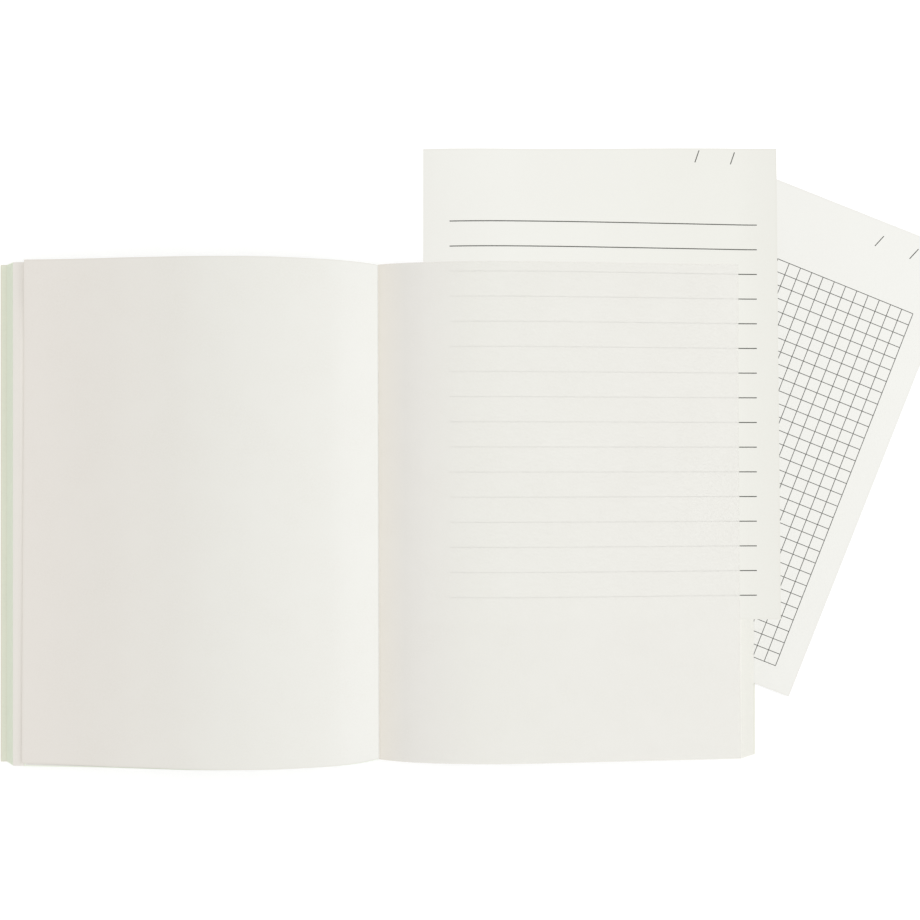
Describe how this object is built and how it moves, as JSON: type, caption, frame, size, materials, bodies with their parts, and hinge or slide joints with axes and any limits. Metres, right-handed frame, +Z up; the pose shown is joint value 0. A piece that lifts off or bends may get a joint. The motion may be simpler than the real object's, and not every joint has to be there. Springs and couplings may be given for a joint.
{
  "type": "exercise book",
  "caption": "Open stapled exercise book with blank cream leaves in a thin card cover, and a ruled and a squared guide sheet tucked between the leaves.",
  "frame": {"origin": "middle of the back cover's underside, on the table", "axes": "+X across the open book from the front half to the back half, +Y up the page, +Z up"},
  "size_m": [0.3925, 0.2472, 0.0195],
  "materials": {
    "leaf_paper": "uncoated",
    "cover_card": "uncoated card",
    "staple_wire": "drawn",
    "ruled_paper": "printed lines",
    "grid_paper": "printed squares"
  },
  "bodies": {
    "back_half": {"back_cover": "cover_card", "back_leaf_01": "leaf_paper", "back_leaf_02": "leaf_paper", "back_leaf_03": "leaf_paper", "back_leaf_04": "leaf_paper", "back_leaf_05": "leaf_paper", "back_leaf_06": "leaf_paper", "back_leaf_07": "leaf_paper", "back_leaf_08": "leaf_paper", "back_leaf_09": "leaf_paper", "back_leaf_10": "leaf_paper", "back_leaf_11": "leaf_paper", "back_leaf_12": "leaf_paper", "back_leaf_13": "leaf_paper", "back_leaf_14": "leaf_paper", "back_leaf_15": "leaf_paper", "upper_staple": "staple_wire", "lower_staple": "staple_wire"},
    "front_half": {"front_cover": "cover_card", "front_leaf_01": "leaf_paper", "front_leaf_02": "leaf_paper", "front_leaf_03": "leaf_paper", "front_leaf_04": "leaf_paper", "front_leaf_05": "leaf_paper", "front_leaf_06": "leaf_paper", "front_leaf_07": "leaf_paper", "front_leaf_08": "leaf_paper", "front_leaf_09": "leaf_paper", "front_leaf_10": "leaf_paper", "front_leaf_11": "leaf_paper", "front_leaf_12": "leaf_paper", "front_leaf_13": "leaf_paper", "front_leaf_14": "leaf_paper", "front_leaf_15": "leaf_paper", "front_leaf_16": "leaf_paper", "front_leaf_17": "leaf_paper", "front_leaf_18": "leaf_paper", "front_leaf_19": "leaf_paper", "front_leaf_20": "leaf_paper", "back_leaf_20": "leaf_paper", "back_leaf_19": "leaf_paper", "back_leaf_18": "leaf_paper"},
    "left_leaf": {"back_leaf_17": "leaf_paper"},
    "right_leaf": {"back_leaf_16": "leaf_paper"},
    "ruled_guide": {"ruled_guide_sheet": "ruled_paper"},
    "grid_guide": {"grid_guide_sheet": "grid_paper"}
  },
  "joints": [
    {"name": "front_half_fold", "type": "hinge", "parent": "back_half", "child": "front_half", "pos_m": [-0.07735, 0, 0.00455], "axis": [0, 1, 0], "range_deg": [0, 70]},
    {"name": "left_leaf_turn", "type": "hinge", "parent": "front_half", "child": "left_leaf", "pos_m": [-0.07735, 0, 0.00455], "axis": [0, 1, 0], "range_deg": [0, 35]},
    {"name": "right_leaf_turn", "type": "hinge", "parent": "back_half", "child": "right_leaf", "pos_m": [-0.07735, 0, 0.00455], "axis": [0, 1, 0], "range_deg": [-110, 0]},
    {"name": "ruled_guide_slide", "type": "slide", "parent": "back_half", "child": "ruled_guide", "axis": [0, 1, 0], "range_m": [-0.046, 0.14]},
    {"name": "grid_guide_slide", "type": "slide", "parent": "back_half", "child": "grid_guide", "axis": [0.9298, -0.3681, 0], "range_m": [-0.05, 0.08]}
  ]
}
